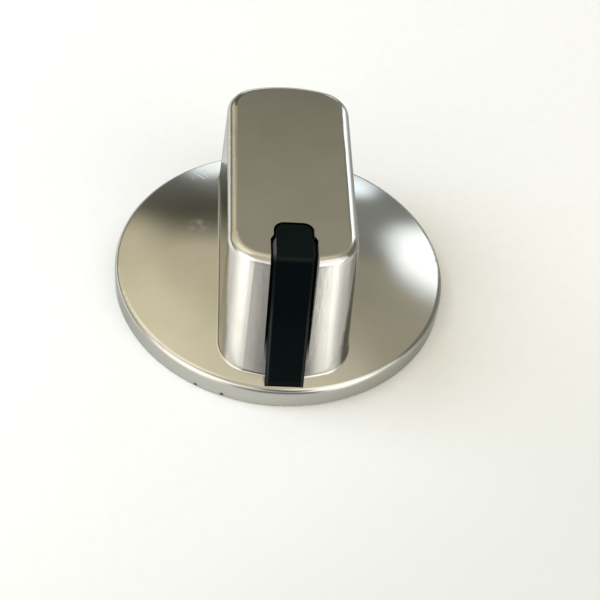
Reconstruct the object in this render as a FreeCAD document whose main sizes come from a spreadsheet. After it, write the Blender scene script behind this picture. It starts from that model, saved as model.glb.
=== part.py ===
import FreeCAD, Part
import Sketcher
import os

os.makedirs("parts", exist_ok=True)

# Oven control knob: a plated moulded shell with a black pointer strip, a plastic hub and its leaf spring
# Frame in millimetres: origin at the centre of the rim's underside, +Z up the shaft's axis, pointer at -Y
SIZES = {
    # skirt
    "skirt_diameter": 60.0,
    "dome_radius": 120.0,
    "dome_height": 8.0,
    "crest_round": 1.2,
    "foot_round": 0.4,
    "inner_round": 0.8,
    "wall": 2.0,
    # grip: width at its flat top before the edge is rounded, ends set in from the skirt's edge at the rim
    "knob_height": 28.0,
    "grip_width": 21.8,
    "grip_inset": 1.5,
    "end_bow": 23.0,
    "corner_round": 6.1,
    "side_draft": 1.0,
    "end_draft": 12.3,
    "top_round": 1.65,
    "root_round": 0.3,
    # pointer strip and the channel that it lies in
    "pointer_width": 7.1,
    "pointer_draft": 0.6,
    "pointer_gap": 0.4,
    "pointer_lean": 21.3,
    "pointer_thickness": 1.6,
    "pointer_bevel": 0.55,
    "fold_round": 0.7,
    "foot_inset": 0.9,
    "foot_top": 5.8,
    "tab_length": 9.18,
    "tab_corner": 1.5,
    "neck_length": 3.0,
    "neck_flare": 1.0,
    "tab_drop": 0.1,
    "tab_floor": 1.25,
    "channel_wall": 1.2,
    "seat_gap": 0.05,
    # staked pegs behind the strip, placed along its back from the fold
    "peg_diameter": 2.2,
    "peg_gap": 0.05,
    "peg_first": 7.0,
    "peg_second": 15.0,
    "stake_diameter": 3.4,
    "stake_height": 0.8,
    # hub, its two cross plates and the shell's guide ribs that hold them
    "hub_diameter": 13.0,
    "hub_mouth": 1.5,
    "web_thickness": 2.0,
    "web_bottom": 6.0,
    "plate_inset": 12.25,
    "plate_thickness": 2.0,
    "plate_gap": 0.1,
    "rib_thickness": 1.0,
    "rib_reach": 0.8,
    "rib_length": 14.0,
    # socket for the appliance's flatted shaft
    "shaft_diameter": 6.0,
    "shaft_across_flat": 4.6,
    "lead_gap": 0.25,
    "lead_depth": 5.0,
    "lead_chamfer": 0.4,
    "socket_gap": 0.05,
    "socket_depth": 18.5,
    # bowed leaf spring behind the socket's flat
    "leaf_thickness": 0.4,
    "leaf_width": 4.0,
    "leaf_length": 11.0,
    "leaf_bow": 0.4,
    "leaf_press": 0.1,
    "leaf_gap": 0.1,
    "leaf_start": 1.0,
}

doc = FreeCAD.newDocument("oven_knob")
sheet = doc.addObject("Spreadsheet::Sheet", "Sizes")
for row, (alias, number) in enumerate(SIZES.items(), start=1):
    sheet.set(f"A{row}", alias)
    sheet.set(f"B{row}", str(number))
    sheet.setAlias(f"B{row}", alias)
doc.recompute()


# Helpers: an expression is written over the sheet's aliases, with {name} standing for the cell of that name
def bound(text):
    """The text with each {alias} turned into a reference to the sheet."""
    return text.format(**{alias: f"Sizes.{alias}" for alias in SIZES})


def value(text):
    """The number that an expression gives now."""
    number = sheet.evalExpression(bound(text))
    return float(getattr(number, "Value", number))


def add_body(name):
    body = doc.addObject("PartDesign::Body", name)
    body.Label = name
    return body


def add_sketch(body, role, name, lift=None):
    """An empty sketch on one of the body's origin planes, lifted along the plane's normal."""
    sketch = body.newObject("Sketcher::SketchObject", name)
    plane = next(feature for feature in body.Origin.OriginFeatures if feature.Role == role)
    sketch.AttachmentSupport = [(plane, "")]
    sketch.MapMode = "FlatFace"
    if lift:
        sketch.setExpression("AttachmentOffset.Base.z", bound(lift))
    return sketch


def bind(sketch, kind, *where, size):
    """A dimension of the sketch that follows an expression."""
    index = sketch.addConstraint(Sketcher.Constraint(kind, *where, value(size)))
    sketch.setExpression(f"Constraints[{index}]", bound(size))


def pin(sketch, geometry, point, x, y):
    """Holds a point of the sketch at x and y from the origin; "0" puts it on the axis."""
    for kind, axis, size in (("DistanceX", -2, x), ("DistanceY", -1, y)):
        if size == "0":
            sketch.addConstraint(Sketcher.Constraint("PointOnObject", geometry, point, axis))
        else:
            bind(sketch, kind, -1, 1, geometry, point, size=size)


def add_polygon(sketch, points):
    """A closed outline of straight lines through points given as pairs of expressions."""
    places = [FreeCAD.Vector(value(x), value(y), 0) for x, y in points]
    first = sketch.GeometryCount
    for start, end in zip(places, places[1:] + places[:1]):
        sketch.addGeometry(Part.LineSegment(start, end))
    for k in range(len(points)):
        following = first + (k + 1) % len(points)
        sketch.addConstraint(Sketcher.Constraint("Coincident", first + k, 2, following, 1))
    for k, (x, y) in enumerate(points):
        pin(sketch, first + k, 1, x, y)


def add_rectangle(sketch, x0, x1, y0, y1):
    add_polygon(sketch, [(x0, y0), (x1, y0), (x1, y1), (x0, y1)])


def add_circle(sketch, radius, x="0", y="0"):
    centre = FreeCAD.Vector(value(x), value(y), 0)
    circle = sketch.addGeometry(Part.Circle(centre, FreeCAD.Vector(0, 0, 1), value(radius)))
    bind(sketch, "Radius", circle, size=radius)
    pin(sketch, circle, 3, x, y)


def add_feature(body, kind, name, profile, reverse=False, symmetric=False, **sizes):
    """A feature made from a sketch, with its sizes bound to expressions."""
    feature = body.newObject(f"PartDesign::{kind}", name)
    feature.Profile = profile
    if reverse:
        feature.Reversed = True
    if symmetric:
        feature.Midplane = True
    for key, size in sizes.items():
        feature.setExpression(key, bound(size))
    doc.recompute()
    return feature


def add_dressing(body, kind, name, size, wanted):
    """A fillet or chamfer on the edges of the body's tip that pass a test."""
    base = body.Tip
    names = [f"Edge{k}" for k, edge in enumerate(base.Shape.Edges, start=1) if wanted(edge)]
    feature = body.newObject(f"PartDesign::{kind}", name)
    feature.Base = (base, names)
    feature.setExpression("Radius" if kind == "Fillet" else "Size", bound(size))
    doc.recompute()
    return feature


def edge_points(edge):
    low, high = edge.ParameterRange
    return [edge.valueAt(low + share * (high - low)) for share in (0.0, 0.3, 0.6, 1.0)]


def near(number, size):
    return abs(number - value(size)) < 0.001


# Heights and half sizes that several pieces share
CEILING = "({knob_height} - {wall})"
SKIRT_RADIUS = "({skirt_diameter} / 2)"
FLOOR = "({knob_height} - {tab_floor})"
FOOT_REACH = f"({SKIRT_RADIUS} - {{foot_inset}})"


def half_width(height):
    """Half the grip's width at a height, from its width at the top and its sides' draft."""
    return f"({{grip_width}} / 2 + ({{knob_height}} - {height}) * tan({{side_draft}} * 1 deg))"


def half_length(height):
    """Half the grip's length at a height, from the skirt's edge, the inset and the ends' draft."""
    return f"({SKIRT_RADIUS} - {{grip_inset}} - {height} * tan({{end_draft}} * 1 deg))"


def dome_at(radius):
    """Height of the domed skirt's outside at a distance from the axis."""
    return f"({{dome_height}} - {{dome_radius}} + sqrt({{dome_radius}} ^ 2 - {radius} ^ 2))"


def pointer_line(height, depth="0"):
    """Y of the pointer's sloping front at a height, or of a line that much deeper behind it."""
    slope = "tan({pointer_lean} * 1 deg)"
    back = f"({depth}) / cos({{pointer_lean}} * 1 deg)"
    return f"(-{FOOT_REACH} + ({height} - {{foot_top}}) * {slope} + {back})"


def pointer_half(height, grow="0"):
    """Half the pointer's width at a height, from its width at the top and its draft."""
    taper = f"({{knob_height}} - {height}) * tan({{pointer_draft}} * 1 deg)"
    return f"({{pointer_width}} / 2 + {grow} - {taper})"


# Outlines that the shell uses twice, outside and inside
def arc(x, y, radius, start, end):
    """The arc round a centre from one point to another, anticlockwise."""
    circle = Part.Circle(FreeCAD.Vector(x, y, 0), FreeCAD.Vector(0, 0, 1), radius)
    return Part.ArcOfCircle(circle, circle.parameter(start), circle.parameter(end))


def add_dome_profile(sketch, radius, dome_radius, apex, crest):
    """Half section of a disc with a domed top: base, side, tangent crest arc, arc to the apex on the axis."""
    edge, big, small = value(radius), value(dome_radius), value(crest)
    dome_y = value(apex) - big
    to_crest = FreeCAD.Vector(edge - small, ((big - small) ** 2 - (edge - small) ** 2) ** 0.5, 0)
    side_top = FreeCAD.Vector(edge, dome_y + to_crest.y, 0)
    dome_start = FreeCAD.Vector(0, dome_y, 0) + to_crest * (big / (big - small))
    top = FreeCAD.Vector(0, value(apex), 0)
    foot = FreeCAD.Vector(edge, 0, 0)
    origin = FreeCAD.Vector(0, 0, 0)
    sketch.addGeometry(Part.LineSegment(origin, foot))
    sketch.addGeometry(Part.LineSegment(foot, side_top))
    sketch.addGeometry(arc(to_crest.x, side_top.y, small, side_top, dome_start))
    sketch.addGeometry(arc(0, dome_y, big, dome_start, top))
    sketch.addGeometry(Part.LineSegment(top, origin))
    for first, kind in enumerate(("Coincident", "Tangent", "Tangent", "Coincident", "Coincident")):
        sketch.addConstraint(Sketcher.Constraint(kind, first, 2, (first + 1) % 5, 1))
    sketch.addConstraint(Sketcher.Constraint("Vertical", 1))
    sketch.addConstraint(Sketcher.Constraint("PointOnObject", 3, 3, -2))
    pin(sketch, 0, 1, "0", "0")
    pin(sketch, 0, 2, radius, "0")
    pin(sketch, 4, 1, "0", apex)
    bind(sketch, "Radius", 2, size=crest)
    bind(sketch, "Radius", 3, size=dome_radius)


def add_grip_outline(sketch, half_w, half_l, end_radius, corner):
    """Plan of the grip: two straight sides, two bowed ends and four tangent corner arcs."""
    w, reach, bow, round_ = value(half_w), value(half_l), value(end_radius), value(corner)
    end_y = reach - bow
    corner_x = w - round_
    corner_y = end_y + ((bow - round_) ** 2 - corner_x ** 2) ** 0.5
    join = FreeCAD.Vector(corner_x, corner_y - end_y, 0).normalize() * bow
    right_side = FreeCAD.Vector(w, corner_y, 0)
    right_end = FreeCAD.Vector(join.x, end_y + join.y, 0)
    left_end = FreeCAD.Vector(-right_end.x, right_end.y, 0)
    left_side = FreeCAD.Vector(-w, corner_y, 0)
    sketch.addGeometry(Part.LineSegment(-left_side, right_side))
    sketch.addGeometry(arc(corner_x, corner_y, round_, right_side, right_end))
    sketch.addGeometry(arc(0, end_y, bow, right_end, left_end))
    sketch.addGeometry(arc(-corner_x, corner_y, round_, left_end, left_side))
    sketch.addGeometry(Part.LineSegment(left_side, -right_side))
    sketch.addGeometry(arc(-corner_x, -corner_y, round_, -right_side, -right_end))
    sketch.addGeometry(arc(0, -end_y, bow, -right_end, -left_end))
    sketch.addGeometry(arc(corner_x, -corner_y, round_, -left_end, -left_side))
    for k in range(8):
        sketch.addConstraint(Sketcher.Constraint("Tangent", k, 2, (k + 1) % 8, 1))
    for side, x in ((0, half_w), (4, f"-{half_w}")):
        sketch.addConstraint(Sketcher.Constraint("Vertical", side))
        bind(sketch, "DistanceX", -1, 1, side, 1, size=x)
    for end, y in ((2, half_l), (6, f"-{half_l}")):
        crown = sketch.addGeometry(Part.Point(FreeCAD.Vector(0, value(y), 0)))
        sketch.addConstraint(Sketcher.Constraint("PointOnObject", end, 3, -2))
        sketch.addConstraint(Sketcher.Constraint("PointOnObject", crown, 1, end))
        pin(sketch, crown, 1, "0", y)
        bind(sketch, "Radius", end, size=end_radius)
    for index in (1, 3, 5, 7):
        bind(sketch, "Radius", index, size=corner)


def add_loft(body, kind, name, bottom, top):
    loft = body.newObject(f"PartDesign::{kind}", name)
    loft.Profile = bottom
    loft.Sections = [top]
    loft.Ruled = True
    doc.recompute()
    return loft


# Shell: domed skirt, then the tall grip lofted up from it
shell = add_body("knob_shell")
skirt_section = add_sketch(shell, "XZ_Plane", "skirt_section")
add_dome_profile(skirt_section, SKIRT_RADIUS, "{dome_radius}", "{dome_height}", "{crest_round}")
skirt = add_feature(shell, "Revolution", "skirt", skirt_section)
skirt.ReferenceAxis = (skirt_section, ["V_Axis"])
doc.recompute()

grip_foot = add_sketch(shell, "XY_Plane", "grip_foot")
add_grip_outline(grip_foot, half_width("0"), half_length("0"), "{end_bow}", "{corner_round}")
grip_top = add_sketch(shell, "XY_Plane", "grip_top", "{knob_height}")
add_grip_outline(grip_top, half_width("{knob_height}"), half_length("{knob_height}"),
                 "{end_bow}", "{corner_round}")
add_loft(shell, "AdditiveLoft", "grip", grip_foot, grip_top)


# Shell: rounded edges outside
def on_top(edge):
    return all(near(p.z, "{knob_height}") for p in edge_points(edge))


def on_root(edge):
    points = edge_points(edge)
    centre = FreeCAD.Vector(0, 0, value("{dome_height} - {dome_radius}"))
    on_dome = all(near(p.distanceToPoint(centre), "{dome_radius}") for p in points)
    seam = all(abs(p.y) < 0.001 for p in points)
    inside = all(p.x ** 2 + p.y ** 2 < (value(SKIRT_RADIUS) - 0.01) ** 2 for p in points)
    return on_dome and inside and not seam


def on_foot(edge):
    points = edge_points(edge)
    return all(near(p.z, "0") and near((p.x ** 2 + p.y ** 2) ** 0.5, SKIRT_RADIUS) for p in points)


add_dressing(shell, "Fillet", "top_edge", "{top_round}", on_top)
add_dressing(shell, "Fillet", "root_edge", "{root_round}", on_root)
add_dressing(shell, "Fillet", "foot", "{foot_round}", on_foot)

# Shell: hollow under the skirt and up inside the grip, one wall thick all round
hollow_section = add_sketch(shell, "XZ_Plane", "hollow_section")
add_dome_profile(hollow_section, f"({SKIRT_RADIUS} - {{wall}})",
                 "({dome_radius} - {wall})", "({dome_height} - {wall})", "{inner_round}")
hollow = add_feature(shell, "Groove", "hollow", hollow_section)
hollow.ReferenceAxis = (hollow_section, ["V_Axis"])
doc.recompute()

END_WALL = "{wall} / cos({end_draft} * 1 deg)"
cavity_foot = add_sketch(shell, "XY_Plane", "cavity_foot")
add_grip_outline(cavity_foot, f"({half_width('0')} - {{wall}})", f"({half_length('0')} - {END_WALL})",
                 "({end_bow} - {wall})", "({corner_round} - {wall})")
cavity_top = add_sketch(shell, "XY_Plane", "cavity_top", CEILING)
add_grip_outline(cavity_top, f"({half_width(CEILING)} - {{wall}})", f"({half_length(CEILING)} - {END_WALL})",
                 "({end_bow} - {wall})", "({corner_round} - {wall})")
add_loft(shell, "SubtractiveLoft", "cavity", cavity_foot, cavity_top)

# Shell: boxed channel behind the pointer, sunk into the grip's top and front
TAB_START = f"({half_length('{knob_height}')} - {{tab_length}})"
BOX_DEPTH = "{pointer_thickness} + {channel_wall}"
BOX_FLOOR = f"({FLOOR} - {{channel_wall}})"
box_section = add_sketch(shell, "YZ_Plane", "channel_section")
add_polygon(box_section, [
    (f"(-{TAB_START} + {{channel_wall}})", f"({CEILING} + {{wall}} / 2)"),
    (f"(-{TAB_START} + {{channel_wall}})", BOX_FLOOR),
    (pointer_line(BOX_FLOOR, BOX_DEPTH), BOX_FLOOR),
    (pointer_line("{foot_top}", BOX_DEPTH), "{foot_top}"),
    (f"(-{half_length('{foot_top}')} + {{wall}} / 2)", "{foot_top}"),
    (f"(-{half_length(CEILING)} + {{wall}} / 2)", f"({CEILING} + {{wall}} / 2)"),
])
add_feature(shell, "Pad", "channel", box_section, symmetric=True,
            Length="{pointer_width} + 2 * {pointer_gap} + 2 * {channel_wall}")

NECK_FRONT = f"(-{TAB_START} - {{neck_length}})"
SHOULDER = f"({NECK_FRONT} - {{neck_flare}})"


def neck_half(grow="0"):
    """Half the width of the tab's narrow end, which is as wide as the strip between its bevels."""
    return f"({pointer_half('{knob_height}', grow)} - {{pointer_bevel}})"


slot_plan = add_sketch(shell, "XY_Plane", "tab_slot_plan", "{knob_height}")
SLOT_HALF = pointer_half("{knob_height}", "{pointer_gap}")
SLOT_NECK = neck_half("{pointer_gap}")
add_polygon(slot_plan, [
    (f"-{SLOT_HALF}", f"-{SKIRT_RADIUS}"),
    (SLOT_HALF, f"-{SKIRT_RADIUS}"),
    (SLOT_HALF, SHOULDER),
    (SLOT_NECK, NECK_FRONT),
    (SLOT_NECK, f"-{TAB_START}"),
    (f"-{SLOT_NECK}", f"-{TAB_START}"),
    (f"-{SLOT_NECK}", NECK_FRONT),
    (f"-{SLOT_HALF}", SHOULDER),
])
add_feature(shell, "Pocket", "tab_slot", slot_plan, Length="{tab_floor}")


def at_slot_back(edge):
    points = edge_points(edge)
    upright = abs(points[0].z - points[-1].z) > 0.5 * value("{tab_floor}")
    return upright and all(near(p.y, f"-{TAB_START}") and p.z > value(CEILING) for p in points)


add_dressing(shell, "Fillet", "slot_corner", "{tab_corner} + {pointer_gap}", at_slot_back)

GROOVE_FOOT = dome_at(f"({FOOT_REACH} - {{pointer_thickness}} / cos({{pointer_lean}} * 1 deg))")
groove_sections = []
for name, height in (("groove_low", GROOVE_FOOT), ("groove_high", "{knob_height}")):
    section = add_sketch(shell, "XY_Plane", name, height)
    half = pointer_half(height, "{pointer_gap}")
    add_rectangle(section, f"-{half}", half, f"-{SKIRT_RADIUS}", pointer_line(height, "{pointer_thickness}"))
    groove_sections.append(section)
add_loft(shell, "SubtractiveLoft", "pointer_groove", *groove_sections)


# Shell: holes behind the strip for its pegs, with a flat seat for each flattened end
def add_back_sketch(body, name, depth="0"):
    """A sketch on the strip's sloping back, or that much deeper, with y running up to the tab's floor."""
    sketch = add_sketch(body, "XZ_Plane", name)
    tilt = FreeCAD.Rotation(FreeCAD.Vector(1, 0, 0), -value("{pointer_lean}"))
    sketch.AttachmentOffset = FreeCAD.Placement(FreeCAD.Vector(0, 0, 0), tilt)
    fall = f"({depth}) * sin({{pointer_lean}} * 1 deg)"
    inward = f"({depth}) * cos({{pointer_lean}} * 1 deg)"
    sketch.setExpression("AttachmentOffset.Base.y", bound(f"{FLOOR} - {fall}"))
    back = pointer_line(FLOOR, "{pointer_thickness}")
    sketch.setExpression("AttachmentOffset.Base.z", bound(f"-{back} - {inward}"))
    sketch.setExpression("AttachmentOffset.Rotation.Angle", bound("-{pointer_lean} * 1 deg"))
    return sketch


PEGS = ("-{peg_first}", "-{peg_second}")
peg_holes = add_back_sketch(shell, "peg_holes")
stake_seats = add_back_sketch(shell, "stake_seats", "{channel_wall}")
for place in PEGS:
    add_circle(peg_holes, "({peg_diameter} / 2 + {peg_gap})", "0", place)
    add_circle(stake_seats, "({stake_diameter} / 2 + {peg_gap})", "0", place)
add_feature(shell, "Pocket", "peg_hole", peg_holes, Length="2 * ({wall} + {channel_wall})")
add_feature(shell, "Pocket", "stake_seat", stake_seats, Length="2 * ({wall} + {channel_wall})")

# Shell: guide ribs on the inside of both long walls, a pair for each end of each hub plate
guide_plan = add_sketch(shell, "XY_Plane", "guide_plan", f"({CEILING} + {{wall}} / 2)")
INNER = f"({half_width(CEILING)} - {{wall}})"
PLATE_OFFSET = f"({half_length('{knob_height}')} - {{plate_inset}})"
for side in ("", "-"):
    for end in ("", "-"):
        for step in ("-", "+"):
            near_face = f"({PLATE_OFFSET} {step} ({{plate_thickness}} / 2 + {{plate_gap}}))"
            far_face = f"({near_face} {step} {{rib_thickness}})"
            add_rectangle(guide_plan, f"{side}({INNER} - {{rib_reach}})", f"{side}({INNER} + {{wall}} / 2)",
                          f"{end}{near_face}", f"{end}{far_face}")
add_feature(shell, "Pad", "guide_ribs", guide_plan, reverse=True, Length="{rib_length} + {wall} / 2")

# Pointer strip: a tapered black moulding with a tab on top, a sloping front and a foot on the skirt
pointer = add_body("pointer_strip")
front_view = add_sketch(pointer, "XZ_Plane", "front_view")
TAB_TOP = "({knob_height} - {tab_drop})"
TAB_BACK = f"(-{TAB_START} - {{pointer_gap}})"
add_polygon(front_view, [
    (f"-{pointer_half('0')}", "0"), (pointer_half("0"), "0"),
    (pointer_half(TAB_TOP), TAB_TOP), (f"-{pointer_half(TAB_TOP)}", TAB_TOP)])
add_feature(pointer, "Pad", "blank", front_view, Length=SKIRT_RADIUS)

BACK = "{pointer_thickness} - {seat_gap}"
HEEL = f"({GROOVE_FOOT} + {{seat_gap}})"
side_view = add_sketch(pointer, "YZ_Plane", "side_view")
add_rectangle(side_view, f"(-{SKIRT_RADIUS} - 1)", "1", "-1", "({knob_height} + 1)")
add_polygon(side_view, [
    (TAB_BACK, f"({FLOOR} + {{seat_gap}})"),
    (TAB_BACK, TAB_TOP),
    (pointer_line(TAB_TOP), TAB_TOP),
    (f"-{FOOT_REACH}", "{foot_top}"),
    (f"-{FOOT_REACH}", f"({dome_at(FOOT_REACH)} + {{seat_gap}})"),
    (pointer_line(HEEL, BACK), HEEL),
    (pointer_line(f"({FLOOR} + {{seat_gap}})", BACK), f"({FLOOR} + {{seat_gap}})"),
])
add_feature(pointer, "Pocket", "side_cut", side_view, symmetric=True, Length="2 * {pointer_width}")


def at_tab_back(edge):
    points = edge_points(edge)
    upright = abs(points[0].z - points[-1].z) > 0.5 * value("{tab_floor}")
    return upright and all(near(p.y, TAB_BACK) for p in points)


def at_fold(edge):
    return all(near(p.z, TAB_TOP) and near(p.y, pointer_line(TAB_TOP)) for p in edge_points(edge))


def at_pointer_border(edge):
    """The two long borders of the strip, over the tab, the fold and the front."""
    points = edge_points(edge)
    on_tab = all(near(p.z, TAB_TOP) for p in points)
    on_front = all(near(p.y, pointer_line(str(p.z))) for p in points)
    on_fold = all(p.z > value(FLOOR) and p.y < value(NECK_FRONT) for p in points)
    falls = abs(points[0].z - points[-1].z) > 0.01
    across = abs(points[0].x + points[-1].x) < 0.001
    return not across and (on_tab or on_front or (on_fold and falls))


add_dressing(pointer, "Fillet", "fold", "{fold_round}", at_fold)
add_dressing(pointer, "Chamfer", "bevel", "{pointer_bevel}", at_pointer_border)

neck_plan = add_sketch(pointer, "XY_Plane", "neck_plan", "{knob_height}")
for side in ("", "-"):
    add_polygon(neck_plan, [
        (f"{side}{neck_half()}", f"-{TAB_START}"),
        (f"{side}{{pointer_width}}", f"-{TAB_START}"),
        (f"{side}{{pointer_width}}", f"({SHOULDER} - {{pointer_gap}})"),
        (f"{side}{pointer_half('{knob_height}')}", f"({SHOULDER} - {{pointer_gap}})"),
        (f"{side}{neck_half()}", f"({NECK_FRONT} - {{pointer_gap}})"),
    ])
add_feature(pointer, "Pocket", "neck", neck_plan, Length="{tab_floor}")
add_dressing(pointer, "Fillet", "tab_corners", "{tab_corner}", at_tab_back)

# Pointer strip: two pegs through the channel's back, each ending in a head flattened by heat
STAKE = "{channel_wall} + {seat_gap}"
peg_plan = add_back_sketch(pointer, "peg_plan", "-{pointer_thickness} / 2")
stake_plan = add_back_sketch(pointer, "stake_plan", STAKE)
for place in PEGS:
    add_circle(peg_plan, "({peg_diameter} / 2)", "0", place)
    add_circle(stake_plan, "({stake_diameter} / 2)", "0", place)
add_feature(pointer, "Pad", "pegs", peg_plan, reverse=True,
            Length=f"{{pointer_thickness}} / 2 + {STAKE} + {{stake_height}} / 2")
add_feature(pointer, "Pad", "stakes", stake_plan, reverse=True, Length="{stake_height}")


def at_stake_end(edge):
    """The rim of a stake's free face."""
    tilt = FreeCAD.Rotation(FreeCAD.Vector(1, 0, 0), -value("{pointer_lean}"))
    normal = tilt.multVec(FreeCAD.Vector(0, 1, 0))
    back = FreeCAD.Vector(0, value(pointer_line(FLOOR, "{pointer_thickness}")), value(FLOOR))
    return all(near((p - back).dot(normal), f"{STAKE} + {{stake_height}}") for p in edge_points(edge))


add_dressing(pointer, "Fillet", "stake_round", "{stake_height} / 2", at_stake_end)

# Hub: a post under the ceiling, webs along the grip and a cross plate at the end of each web
hub = add_body("shaft_hub")
HUB_TOP = f"({CEILING} - {{seat_gap}})"
post_plan = add_sketch(hub, "XY_Plane", "post_plan", "{hub_mouth}")
add_circle(post_plan, "({hub_diameter} / 2)")
add_feature(hub, "Pad", "post", post_plan, Length=f"{HUB_TOP} - {{hub_mouth}}")
web_plan = add_sketch(hub, "XY_Plane", "web_plan", "{web_bottom}")
add_rectangle(web_plan, "(-{web_thickness} / 2)", "({web_thickness} / 2)",
              f"-{PLATE_OFFSET}", PLATE_OFFSET)
add_feature(hub, "Pad", "webs", web_plan, Length=f"{HUB_TOP} - {{web_bottom}}")
plate_plan = add_sketch(hub, "XY_Plane", "plate_plan", "{web_bottom}")
PLATE_HALF = f"({INNER} - {{plate_gap}})"
for end in ("", "-"):
    add_rectangle(plate_plan, f"-{PLATE_HALF}", PLATE_HALF,
                  f"{end}({PLATE_OFFSET} - {{plate_thickness}} / 2)",
                  f"{end}({PLATE_OFFSET} + {{plate_thickness}} / 2)")
add_feature(hub, "Pad", "plates", plate_plan, Length=f"{HUB_TOP} - {{web_bottom}}")

# Hub: round lead-in, then a socket with one flat, open downwards
LEAD_RADIUS = "({shaft_diameter} / 2 + {lead_gap})"
SOCKET_RADIUS = "({shaft_diameter} / 2 + {socket_gap})"
FLAT = "({shaft_across_flat} - {shaft_diameter} / 2 + {socket_gap})"
lead_plan = add_sketch(hub, "XY_Plane", "lead_plan", "{hub_mouth}")
add_circle(lead_plan, LEAD_RADIUS)
add_feature(hub, "Pocket", "lead_in", lead_plan, reverse=True, Length="{lead_depth}")

socket_plan = add_sketch(hub, "XY_Plane", "socket_plan", "{hub_mouth}")
half_chord = value(f"sqrt({SOCKET_RADIUS} ^ 2 - {FLAT} ^ 2)")
left = FreeCAD.Vector(-half_chord, value(FLAT), 0)
right = FreeCAD.Vector(half_chord, value(FLAT), 0)
round_part = Part.Circle(FreeCAD.Vector(0, 0, 0), FreeCAD.Vector(0, 0, 1), value(SOCKET_RADIUS))
socket_plan.addGeometry(Part.ArcOfCircle(round_part, round_part.parameter(left), round_part.parameter(right)))
socket_plan.addGeometry(Part.LineSegment(right, left))
socket_plan.addConstraint(Sketcher.Constraint("Coincident", 0, 2, 1, 1))
socket_plan.addConstraint(Sketcher.Constraint("Coincident", 1, 2, 0, 1))
socket_plan.addConstraint(Sketcher.Constraint("Coincident", 0, 3, -1, 1))
socket_plan.addConstraint(Sketcher.Constraint("Horizontal", 1))
bind(socket_plan, "Radius", 0, size=SOCKET_RADIUS)
bind(socket_plan, "DistanceY", -1, 1, 1, 1, size=FLAT)
add_feature(hub, "Pocket", "socket", socket_plan, reverse=True, Length="{socket_depth}")

# Hub: recess behind the flat for the leaf spring
LEAF_BACK = f"({FLAT} + {{leaf_thickness}} + {{leaf_bow}} - {{leaf_press}})"
LEAF_LOW = "({hub_mouth} + {lead_depth} + {leaf_start} + {leaf_gap})"
LEAF_HIGH = f"({LEAF_LOW} + {{leaf_length}})"
recess_side = add_sketch(hub, "YZ_Plane", "recess_side")
add_rectangle(recess_side, "0", f"({LEAF_BACK} + {{seat_gap}})",
              f"({LEAF_LOW} - {{leaf_gap}})", f"({LEAF_HIGH} + {{leaf_gap}})")
add_feature(hub, "Pocket", "leaf_recess", recess_side, symmetric=True, Length="{leaf_width} + 2 * {leaf_gap}")


def at_mouth(edge):
    return all(near(p.z, "{hub_mouth}") for p in edge_points(edge))


add_dressing(hub, "Chamfer", "mouth", "{lead_chamfer}", at_mouth)

# Leaf spring: a strip of spring steel bowed towards the shaft's flat
leaf = add_body("leaf_spring")
leaf_side = add_sketch(leaf, "YZ_Plane", "leaf_side")
BOW_RADIUS = "({leaf_length} ^ 2 / (8 * {leaf_bow}) + {leaf_bow} / 2)"
LEAF_FACE = f"({LEAF_BACK} - {{leaf_thickness}})"
middle = value(f"({LEAF_LOW} + {LEAF_HIGH}) / 2")
ENDS = (LEAF_HIGH, LEAF_LOW)
for index, face in enumerate((LEAF_BACK, LEAF_FACE)):
    centre = FreeCAD.Vector(value(f"{face} - {{leaf_bow}} + {BOW_RADIUS}"), middle, 0)
    circle = Part.Circle(centre, FreeCAD.Vector(0, 0, 1), value(BOW_RADIUS))
    tips = [FreeCAD.Vector(value(face), value(height), 0) for height in ENDS]
    leaf_side.addGeometry(Part.ArcOfCircle(circle, circle.parameter(tips[0]), circle.parameter(tips[1])))
    bind(leaf_side, "Radius", index, size=BOW_RADIUS)
    for point, height in enumerate(ENDS, start=1):
        pin(leaf_side, index, point, face, height)
for point, height in enumerate(ENDS, start=1):
    back, front = (FreeCAD.Vector(value(face), value(height), 0) for face in (LEAF_BACK, LEAF_FACE))
    tip = leaf_side.addGeometry(Part.LineSegment(back, front))
    leaf_side.addConstraint(Sketcher.Constraint("Coincident", tip, 1, 0, point))
    leaf_side.addConstraint(Sketcher.Constraint("Coincident", tip, 2, 1, point))
add_feature(leaf, "Pad", "leaf", leaf_side, symmetric=True, Length="{leaf_width}")

# Every object is sound, then each piece is written under its own name
doc.recompute()
failed = [item.Label for item in doc.Objects if "Invalid" in item.State or "Error" in item.State]
assert not failed, f"failed objects: {failed}"
for body in (shell, pointer, hub, leaf):
    shape = body.Shape
    assert not shape.isNull() and shape.isValid() and len(shape.Solids) == 1, f"unsound piece: {body.Label}"
    shape.exportStep(f"parts/{body.Label}.step")
    print(f"{body.Label}: {shape.Volume:.1f} mm3")
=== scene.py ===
import math
import bpy
import numpy as np
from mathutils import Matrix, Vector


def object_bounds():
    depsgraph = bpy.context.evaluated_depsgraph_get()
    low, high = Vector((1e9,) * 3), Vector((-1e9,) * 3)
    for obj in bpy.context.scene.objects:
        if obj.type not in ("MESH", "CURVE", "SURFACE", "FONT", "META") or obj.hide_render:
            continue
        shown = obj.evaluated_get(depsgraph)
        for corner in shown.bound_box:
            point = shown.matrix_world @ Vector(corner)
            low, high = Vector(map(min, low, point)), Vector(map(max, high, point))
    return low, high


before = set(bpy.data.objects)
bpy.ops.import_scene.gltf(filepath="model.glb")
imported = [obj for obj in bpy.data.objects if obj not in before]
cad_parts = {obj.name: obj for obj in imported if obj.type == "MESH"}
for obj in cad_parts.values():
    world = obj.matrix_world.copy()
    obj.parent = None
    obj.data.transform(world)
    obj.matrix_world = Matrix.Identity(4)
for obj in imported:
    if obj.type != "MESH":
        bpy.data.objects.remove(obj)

cad_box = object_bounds()


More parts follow.
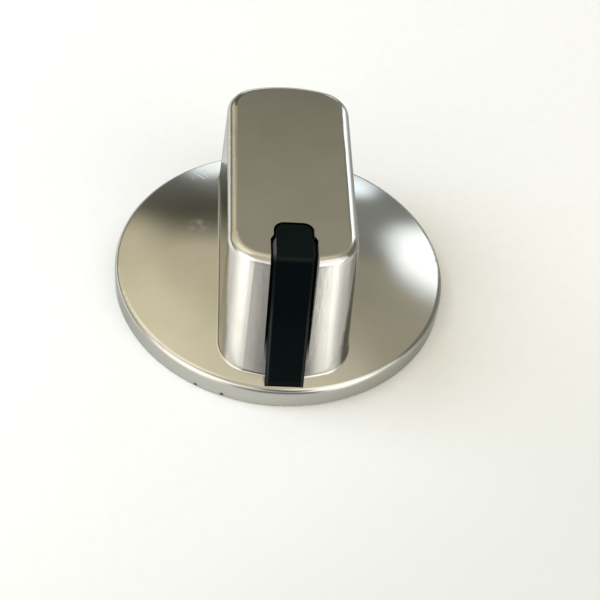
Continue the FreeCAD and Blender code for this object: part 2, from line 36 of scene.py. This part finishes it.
# Leaf spring: a short strip of rolled spring steel, bowed towards the shaft. It is sheared from
# strip, blued by its heat treatment, and lies loose in a recess behind the socket's flat.
class Shade:
    """A value in a node tree: arithmetic on it adds Math nodes, and node() adds any other node."""

    def __init__(self, tree, socket=None):
        self.tree = tree
        self.socket = socket

    def node(self, kind, inputs=(), out=0, stops=(), **settings):
        """Adds a node: its settings, then a ramp's stops, then its sockets' values or links."""
        added = self.tree.nodes.new("ShaderNode" + kind)
        for name, setting in settings.items():
            setattr(added, name, setting)
        for place, _ in stops[2:]:
            added.color_ramp.elements.new(place)
        for k, (place, colour) in enumerate(stops):
            added.color_ramp.elements[k].position = place
            added.color_ramp.elements[k].color = (*colour, 1)
        for name, given in dict(inputs).items():
            if isinstance(given, Shade):
                self.tree.links.new(given.socket, added.inputs[name])
            else:
                added.inputs[name].default_value = given
        return Shade(self.tree, added.outputs[out])

    def math(self, operation, first, second=0.0):
        """A Math node on one value or two."""
        return self.node("Math", {0: first, 1: second}, operation=operation)

    def __add__(self, other):
        return self.math("ADD", self, other)

    def __sub__(self, other):
        return self.math("SUBTRACT", self, other)

    def __rsub__(self, other):
        return self.math("SUBTRACT", other, self)

    def __mul__(self, other):
        return self.math("MULTIPLY", self, other)

    __radd__ = __add__
    __rmul__ = __mul__

    def vector(self, operation, other, out=0):
        """A Vector Math node on this vector and another one."""
        return self.node("VectorMath", {0: self, 1: other}, out, operation=operation)

    def split(self):
        """The three parts of a vector."""
        parts = self.node("SeparateXYZ", {0: self})
        return [Shade(self.tree, output) for output in parts.socket.node.outputs]

    def noise(self, stretch, detail=3.0, roughness=0.5):
        """Noise of about 0 to 1 over this vector, with so many bumps a unit along each axis."""
        spread = self.vector("MULTIPLY", stretch)
        return self.node("TexNoise", {"Vector": spread, "Scale": 1.0, "Detail": detail,
                                      "Roughness": roughness})

    def fade(self, start, end):
        """A smooth step from 0 at start to 1 at end; start may be the higher one."""
        return self.node("MapRange", {"Value": self, "From Min": start, "From Max": end},
                         interpolation_type="SMOOTHSTEP")

    def tint(self, low, high):
        """A colour mixed from low, where this value is 0, to high, where it is 1."""
        low, high = (given if isinstance(given, Shade) else (*given, 1) for given in (low, high))
        return self.node("Mix", {0: self, 6: low, 7: high}, 2, data_type="RGBA")


MM_PER_M = 1000


def new_finish(piece, name):
    """A fresh material on a piece, with its shader's sockets and its surface in millimetres."""
    material = bpy.data.materials.new(name)
    material.use_nodes = True
    if not piece.material_slots:
        piece.data.materials.append(material)
    for slot in piece.material_slots:
        slot.material = material
    tree = material.node_tree
    place = Shade(tree).node("TexCoord", out="Object").vector("MULTIPLY", (MM_PER_M,) * 3)
    return tree.nodes["Principled BSDF"].inputs, place


def drive(sockets, **values):
    """Links each value to the shader's socket of that name; an underscore stands for a space."""
    for name, value in values.items():
        value.tree.links.new(value.socket, sockets[name.replace("_", " ")])


def bump(height, depth_mm):
    """A normal raised by a height of 0 to 1, so many millimetres deep."""
    return height.node("Bump", {"Height": height, "Strength": 1.0, "Distance": depth_mm / MM_PER_M})


STEEL = (0.44, 0.45, 0.47)
STEEL_BLUED = (0.30, 0.31, 0.36)
ROLLING_LINES = (9, 9, 0.35)
ROLLING_DEPTH = 0.01
HEAT_PATCHES = (0.4, 0.4, 0.25)
sockets, place = new_finish(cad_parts["leaf_spring"], "spring_steel")
sockets["Metallic"].default_value = 1.0
lines = place.noise(ROLLING_LINES)
heat = place.noise(HEAT_PATCHES).fade(0.4, 0.65)
drive(sockets, Base_Color=heat.tint(STEEL, STEEL_BLUED), Roughness=0.24 + 0.2 * lines,
      Normal=bump(lines, ROLLING_DEPTH))

# Shaft hub: the dark insert that takes the control's shaft, moulded in glass-filled nylon. Its two
# cross plates slide between ribs inside the grip; short pale fibres show in its dull skin.
HUB_DARK = (0.030, 0.030, 0.032)
HUB_FIBRE = (0.085, 0.085, 0.082)
FIBRES = (7, 7, 1.2)
SKIN_CLOUDS = (0.35, 0.35, 0.2)
HUB_GRAIN = (12, 12, 12)
HUB_GRAIN_DEPTH = 0.012
sockets, place = new_finish(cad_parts["shaft_hub"], "filled_nylon")
fibres = place.noise(FIBRES, detail=5).fade(0.55, 0.78)
skin = place.noise(SKIN_CLOUDS, detail=4)
grain = place.noise(HUB_GRAIN)
drive(sockets, Base_Color=fibres.tint(HUB_DARK, HUB_FIBRE),
      Roughness=0.42 + 0.2 * skin + 0.1 * grain, Normal=bump(grain, HUB_GRAIN_DEPTH))

# Knob shell: one hollow moulding with skirt and grip, plated in satin chrome. The grip's two ends
# are finely brushed upwards, the rim shows fine turning lines under a darker tint of painted shade,
# and the skirt carries the scratches, pits, nicks and smudge of a used knob, the scratches with a
# painted glint. The slot's walls are painted near black as shade. Places are in millimetres, and
# pairs are where a fade runs.
CHROME = (0.58, 0.57, 0.54)
CHROME_CLOUD = (0.55, 0.54, 0.505)
CHROME_CUT_GLINT = (0.84, 0.84, 0.83)
CHROME_SMUDGE = (0.66, 0.65, 0.615)
CHROME_GLANCE = (0.66, 0.66, 0.64, 1)
RIM_TURNING_AND_SHADE = (0.49, 0.485, 0.45)
INSIDE = (0.36, 0.355, 0.34)
NICK = (0.06, 0.058, 0.05)
SLOT_PAINTED_SHADE = (0.012, 0.012, 0.012)
TOP_Z = 28
SLOT_HALF, SLOT_TAPER = 3.95, 0.01047
SLOT_BACK, SLOT_FRONT = (-13.0, -13.2), (-29.4, -29.1)
SLOT_TOP, SLOT_FOOT = (27.98, 27.9), (7.0, 13.0)
FACING_OUT = (-0.4, 0.4)
BRUSH_LINES, TURNING_LINES, HAIRLINES = (1.7, 1.7, 0.03), (0.12, 0.12, 7), (0.25, 8, 0.25)
CLOUDS, SMUDGE_BLOTS, PIT_GRAIN = (0.12, 0.12, 0.12), (0.55, 0.55, 0.55), (2.2, 2.2, 2.2)
END_Y_SQUARED, END_FOOT, END_TOP = (220, 400), (5, 8), (27.5, 26.5)
RIM_RADIUS = (29.6, 29.9)
SCRATCHED_BELOW = (7.5, 6.5)
SCRATCHES = (
    ((-15.9, 23.2), (-14.0, 20.7), 0.20),
    ((-14.3, 23.4), (-13.4, 21.2), 0.17),
    ((-16.5, 21.6), (-16.0, 20.4), 0.05),
)
SMUDGE = ((-15.0, 6.5, 6.8), 0.6, 2.8)
PITTED = ((-24.0, -10.5, 5.2), 2.0, 7.0)
NICKS = (((-10.4, -28.1, 0.7), 0.15, 0.5), ((-14.9, -26.0, 0.5), 0.15, 0.5))
MARK_DEPTH = 0.004


def scratch(plan, start, end, width):
    """1 on the straight line between two points of the plan, and 0 a width beside it."""
    run = np.subtract(end, start)
    offset = plan.vector("SUBTRACT", (*start, 0))
    along = offset.vector("DOT_PRODUCT", (*(run / run.dot(run)), 0), out=1)
    along = along.node("Clamp", {0: along})
    nearest = plan.node("VectorMath", {0: (*run, 0), "Scale": along}, operation="SCALE")
    return offset.vector("DISTANCE", nearest, out=1).fade(width, 0.25 * width)


def spot(place, centre, inner, outer):
    """1 within inner millimetres of a point, falling softly to 0 at outer millimetres."""
    return place.vector("DISTANCE", centre, out=1).fade(outer, inner)


def beside_pointer(x, z):
    """Distance from the pointer's middle line, as it would be at the top of its taper."""
    return x.math("ABSOLUTE", x) + SLOT_TAPER * (TOP_Z - z)


sockets, place = new_finish(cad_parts["knob_shell"], "satin_chrome")
sockets["Metallic"].default_value = 1.0
sockets["Specular Tint"].default_value = CHROME_GLANCE
x, y, z = place.split()
plan = place.vector("MULTIPLY", (1, 1, 0))
# The slot's walls beside the pointer are painted near black, as painted shade of the deep gap.
slot = beside_pointer(x, z).fade(SLOT_HALF + 0.06, SLOT_HALF + 0.01)
slot = slot * y.fade(*SLOT_BACK) * y.fade(*SLOT_FRONT) * z.fade(*SLOT_TOP) * z.fade(*SLOT_FOOT)
facing = place.node("NewGeometry", out="Normal")
outside = facing.vector("DOT_PRODUCT", place, out=1).fade(*FACING_OUT)
brush = place.noise(BRUSH_LINES, detail=5, roughness=0.65)
cloud = place.noise(CLOUDS)
hairline = place.noise(HAIRLINES, detail=2).fade(0.66, 0.8)
grip_end = (y * y).fade(*END_Y_SQUARED) * z.fade(*END_FOOT) * z.fade(*END_TOP)
cuts = sum(scratch(plan, *line) for line in SCRATCHES) * z.fade(*SCRATCHED_BELOW)
smudge = spot(place, *SMUDGE) * place.noise(SMUDGE_BLOTS, detail=2).fade(0.3, 0.6)
nicks = sum(spot(place, *nick) for nick in NICKS)
rim = plan.vector("LENGTH", (0, 0, 0), out=1).fade(*RIM_RADIUS)
turning = place.noise(TURNING_LINES)
pits = place.noise(PIT_GRAIN, detail=2).fade(0.56, 0.66) * spot(place, *PITTED)
plating = (cloud.fade(0.35, 0.7) + 0.5 * pits).tint(CHROME, CHROME_CLOUD)
# The scratches are real wear, and their light tint is a painted glint.
plating = cuts.tint((0.6 * smudge).tint(plating, CHROME_SMUDGE), CHROME_CUT_GLINT)
# The rim's darker tint is partly painted shade, for the shaded table beside it that it mirrors, and
# partly its real turning lines.
plating = (rim * (0.6 + 0.6 * turning)).tint(plating, RIM_TURNING_AND_SHADE)
plating = slot.tint(nicks.tint(plating, NICK), SLOT_PAINTED_SHADE)
satin = 0.10 + 0.04 * cloud + 0.04 * hairline + 0.15 * cuts + 0.12 * smudge
satin = satin + grip_end * (0.03 + 0.14 * brush) + 0.1 * rim * turning
satin = satin + 0.3 * (1 - outside) + 0.5 * slot
marks = 4.5 * brush * grip_end + 0.5 * turning * rim - 0.6 * cuts - 0.9 * pits
drive(sockets, Base_Color=outside.tint(INSIDE, plating), Roughness=satin,
      Normal=bump(marks, MARK_DEPTH))

# Pointer strip: a black plastic moulding set into the grip's front. It is satin with a fine
# spark-eroded grain, has bevelled borders with a painted highlight along them and across the fold,
# carries a painted glint on the tab's left border, and is held by two pegs that are staked over
# behind the wall.
BLACK = (0.0002, 0.0020, 0.0030)
BLACK_WORN = (0.0022, 0.0052, 0.0050)
BLACK_EDGE_HIGHLIGHT = (0.019, 0.022, 0.022)
BLACK_PAINTED_GLINT = (0.10, 0.10, 0.095)
FACE_HALF, BEVEL = 3.0, 0.55
HANDLING_CLOUDS = (0.3, 0.3, 0.15)
SPARK_GRAIN = (9, 9, 9)
SPARK_DEPTH = 0.004
TOUCHED_FOOT, TOUCHED_TAB, FOOT_END = (20, 6), (26.0, 27.5), (-29.1, -29.0)
GLINT_LEFT, GLINT_TOP, GLINT_BACK = (-2.0, -2.8), (26.0, 27.2), (-21.5, -20.0)
FOLD_LOW, FOLD_HIGH = (26.5, 27.0), (27.7, 27.2)
sockets, place = new_finish(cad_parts["pointer_strip"], "black_moulding")
sockets["Specular IOR Level"].default_value = 0.05
x, y, z = place.split()
grain = place.noise(SPARK_GRAIN, detail=2)
handling = place.noise(HANDLING_CLOUDS, detail=4)
touched = (z.fade(*TOUCHED_FOOT) + z.fade(*TOUCHED_TAB)) * y.fade(*FOOT_END)
beside = beside_pointer(x, z)
border = beside.fade(FACE_HALF - 0.05, FACE_HALF + 0.12)
# A painted highlight along the bevelled borders.
bevel_highlight = border * beside.fade(FACE_HALF + 0.85 * BEVEL, FACE_HALF + 0.6 * BEVEL)
# A painted glint on the left border at the tab.
painted_glint = border * x.fade(*GLINT_LEFT) * z.fade(*GLINT_TOP) * y.fade(*GLINT_BACK)
# A painted highlight across the fold.
fold_highlight = z.fade(*FOLD_LOW) * z.fade(*FOLD_HIGH)
face = (touched * (0.6 + 0.4 * handling)).tint(BLACK, BLACK_WORN)
face = (bevel_highlight * (0.5 + 0.7 * handling) + 0.4 * fold_highlight).tint(face, BLACK_EDGE_HIGHLIGHT)
drive(sockets, Base_Color=painted_glint.tint(face, BLACK_PAINTED_GLINT),
      Roughness=0.24 + 0.14 * handling + 0.1 * grain, Normal=bump(grain, SPARK_DEPTH))

# Table: a plain white matt sheet with a faint paper-like grain, on which the knob stands, painted
# darker towards the front and right as shade. For rays that the chrome mirrors it glows as a
# painted
# reflection: white cards at its front corners with a grey gap between them, given as levels by
# degrees from straight in front and dimmed near the knob as painted shade. Far off it turns as pale
# as the backdrop.
TABLE_REACH = 6.0
TABLE_WHITE = (0.93, 0.93, 0.92)
TABLE_SHADE = (0.915, 0.915, 0.905)
TABLE_PAINTED_SHADE = (0.805, 0.81, 0.795)
BACKDROP = (0.97, 0.97, 0.96)
PAPER_GRAIN = (0.5, 0.5, 0.5)
PAINTED_SHADE_SIDE = (20, 90)
CARDS_CENTRE_Y = -18.0
CARDS_START, CARDS_RISE = (32, 40), (40, 66)
FAR_OFF = (150, 450)
CARD_STRENGTH = 2.0
CARD_WARMTH = (2.0, 2.02, 2.14)
MIRRORED = (
    (-180, 0.80), (-113, 1.35), (-88, 1.10), (-58, 2.00), (-46, 1.85), (-36, 1.15),
    (-26, 0.60), (-16, 0.32), (18, 0.26), (25, 0.42), (33, 1.45), (43, 2.05),
    (57, 1.15), (71, 0.84), (88, 0.80), (98, 0.45), (125, 0.45), (180, 0.75),
)


def flat_sheet(name, u, v, point):
    """A grid over the numbers u and v, with each corner where point(u, v) puts it."""
    across, along = np.meshgrid(u, v, indexing="ij")
    corners = np.stack(np.broadcast_arrays(*point(across, along)), axis=-1).reshape(-1, 3)
    index = np.arange(across.size).reshape(across.shape)
    quads = [index[:-1, :-1], index[1:, :-1], index[1:, 1:], index[:-1, 1:]]
    mesh = bpy.data.meshes.new(name)
    mesh.from_pydata(corners.tolist(), [], np.stack(quads, axis=-1).reshape(-1, 4).tolist())
    piece = bpy.data.objects.new(name, mesh)
    bpy.context.scene.collection.objects.link(piece)
    return piece


edges = np.linspace(-TABLE_REACH, TABLE_REACH, 3)
table = flat_sheet("table", edges, edges, lambda u, v: (u, v, float(cad_box[0][2])))
sockets, place = new_finish(table, "table_white")
sockets["Roughness"].default_value = 0.9
sockets["Specular IOR Level"].default_value = 0.1
x, y, _ = place.split()
paper = place.noise(PAPER_GRAIN, detail=5).fade(0.3, 0.7).tint(TABLE_WHITE, TABLE_SHADE)
# Painted shade: the table is darker towards the front and the right.
drive(sockets, Base_Color=(0.6 * x - y).fade(*PAINTED_SHADE_SIDE).tint(paper, TABLE_PAINTED_SHADE))
turn = place.math("ARCTAN2", x, CARDS_CENTRE_Y - y) * (0.5 / math.pi) + 0.5
levels = [(angle / 360 + 0.5, [level / part for part in CARD_WARMTH]) for angle, level in MIRRORED]
cards = turn.node("ValToRGB", {0: turn}, stops=levels)
reach = place.vector("LENGTH", (0, 0, 0), out=1)
# Painted shade on the glow: dimmer near the knob, brighter further off.
near_knob_shade = 0.88 + 0.22 * reach.fade(*CARDS_RISE)
cards = cards.node("VectorMath", {0: cards, "Scale": near_knob_shade}, operation="SCALE")
# The glow is a painted reflection, seen only by rays that the chrome mirrors.
glow = cards.node("Emission", {"Color": cards, "Strength": CARD_STRENGTH})
mirrored = place.node("LightPath", out="Is Glossy Ray") * reach.fade(*CARDS_START)
surface = Shade(place.tree, place.tree.nodes["Principled BSDF"].outputs[0])
surface = place.node("MixShader", {0: mirrored, 1: surface, 2: glow})
distant = place.node("LightPath", out="Is Camera Ray") * reach.fade(*FAR_OFF)
pale = place.node("Emission", {"Color": (*BACKDROP, 1)})
surface = place.node("MixShader", {0: distant, 1: surface, 2: pale})
drive(place.tree.nodes["Material Output"].inputs, Surface=surface)


# Light: a soft studio dome, with one ramp by height behind the knob and one in front, and soft
# round panels that the chrome mirrors, while the camera sees a pale backdrop. One large soft lamp
# on the left lights the table and isn't mirrored.
def heading(azimuth, elevation):
    """A direction, from degrees to the right of straight behind the knob and degrees up."""
    turn, rise = math.radians(azimuth), math.radians(elevation)
    return (math.sin(turn) * math.cos(rise), math.cos(turn) * math.cos(rise), math.sin(rise))


# Each ramp: the height as the direction's upward part, 0 to 1, and the colour there
BEHIND = (
    (0.00, (0.34, 0.35, 0.34)),
    (0.30, (0.24, 0.245, 0.22)),
    (0.42, (0.15, 0.15, 0.125)),
    (0.54, (0.095, 0.095, 0.068)),
    (0.60, (0.15, 0.145, 0.105)),
    (0.64, (0.33, 0.31, 0.24)),
    (0.69, (0.44, 0.415, 0.32)),
    (0.77, (0.42, 0.395, 0.30)),
    (0.86, (0.53, 0.49, 0.375)),
    (0.92, (0.78, 0.72, 0.55)),
    (1.00, (1.05, 0.97, 0.75)),
)
FRONT = (
    (0.00, (0.30, 0.30, 0.28)),
    (0.08, (0.50, 0.50, 0.47)),
    (0.20, (1.50, 1.49, 1.44)),
    (0.45, (1.20, 1.18, 1.10)),
    (0.75, (0.72, 0.68, 0.57)),
    (0.92, (0.76, 0.70, 0.55)),
    (1.00, (1.00, 0.92, 0.71)),
)
# Each panel: degrees to the right and up, inner and outer radius in degrees, colour
PANELS = (
    # cream panels on the left
    (-61, 47, 20, 40, (1.0, 0.92, 0.66)),
    (-34, 33, 6, 16, (0.86, 0.79, 0.57)),
    (-13, 49, 3, 9, (0.78, 0.70, 0.51)),
    (-82, 58, 10, 26, (1.45, 1.37, 1.10)),
    # dim ones on the right
    (66, 40, 12, 28, (0.50, 0.46, 0.36)),
    (76, 20, 14, 30, (0.24, 0.235, 0.20)),
    # grey ones behind, with a low white one and two small cool ones
    (6, 20, 7, 16, (0.29, 0.30, 0.29)),
    (2, 3, 7, 13, (1.5, 1.53, 1.53)),
    (22, 29, 5, 13, (0.30, 0.31, 0.29)),
    (-4.0, 17, 1.5, 6.0, (1.8, 1.95, 2.05)),
    (14.5, 20, 1.5, 5.0, (1.9, 2.1, 2.25)),
    # a tall bright one behind on the right
    (36.5, 35.5, 3, 8.5, (0.98, 1.02, 1.03)),
    (39, 9, 4, 11, (1.0, 1.03, 1.06)),
    (35, 30, 4, 11, (2.1, 2.2, 2.25)),
    (36, 20, 5, 10, (1.9, 2.0, 2.05)),
    # white ones at the front corners, and a dark one straight in front
    (-128, 12, 14, 34, (2.1, 2.1, 2.0)),
    (142, 42, 12, 30, (1.65, 1.63, 1.52)),
    (140, 12, 12, 28, (2.2, 2.2, 2.1)),
    (174, 27, 9, 20, (0.20, 0.195, 0.175)),
)
BEHIND_TO_FRONT = (0.25, -0.25)
LESS_ON_MATT = 0.1
world = bpy.data.worlds.new("studio")
bpy.context.scene.world = world
world.use_nodes = True
view = Shade(world.node_tree).node("TexCoord", out="Generated")
_, y, rise = view.split()
behind = rise.node("ValToRGB", {0: rise}, stops=BEHIND)
front = rise.node("ValToRGB", {0: rise}, stops=FRONT)
sky = y.fade(*BEHIND_TO_FRONT).tint(behind, front)
for azimuth, elevation, inner, outer, colour in PANELS:
    near = view.vector("DOT_PRODUCT", heading(azimuth, elevation), out=1)
    panel = near.fade(math.cos(math.radians(outer)), math.cos(math.radians(inner)))
    sky = panel.tint(sky, colour)
sky = view.node("LightPath", out="Is Camera Ray").tint(sky, BACKDROP)
strength = 1 - LESS_ON_MATT * view.node("LightPath", out="Is Diffuse Ray")
drive(world.node_tree.nodes["Background"].inputs, Color=sky, Strength=strength)

LAMP_PLACE = (-0.42, 0.08, 0.37)
lamp = bpy.data.lights.new("left_lamp", "AREA")
lamp.size = 0.36
lamp.energy = 1.42
lamp.color = (0.80, 0.96, 1.24)
stand = bpy.data.objects.new("left_lamp", lamp)
stand.location = LAMP_PLACE
aim = np.array(LAMP_PLACE) / np.linalg.norm(LAMP_PLACE)
stand.rotation_euler = (math.acos(aim[2]), 0, math.atan2(aim[0], -aim[1]))
stand.visible_glossy = False
bpy.context.scene.collection.objects.link(stand)

# Camera: the photo's view, a long lens looking down on the pointer from a little to its left.
# Angles, in degrees, and distance come from the edges of skirt, grip and pointer.
AZIMUTH, ELEVATION, ROLL = -7.75, 47.11, 8.02
TARGET = np.array([0.00271, -0.01404, 0.010])
DISTANCE = 0.26145
LENS_MM, SENSOR_MM = 90.0, 36.0
back = -np.array(heading(-AZIMUTH, -ELEVATION))
level = np.array(heading(90 - AZIMUTH, 0))
upright = np.cross(back, level)
lean = math.radians(ROLL)
right = level * math.cos(lean) + upright * math.sin(lean)
top = upright * math.cos(lean) - level * math.sin(lean)
eye = TARGET + back * DISTANCE
camera = bpy.data.objects.new("camera", bpy.data.cameras.new("camera"))
camera.data.lens = LENS_MM
camera.data.sensor_width = SENSOR_MM
camera.data.clip_start = 0.01
pose = np.eye(4)
pose[:3] = np.stack([right, top, back, eye], axis=1)
camera.matrix_world = pose.T.tolist()
bpy.context.scene.collection.objects.link(camera)
bpy.context.scene.camera = camera
bpy.context.scene.view_settings.view_transform = "Standard"
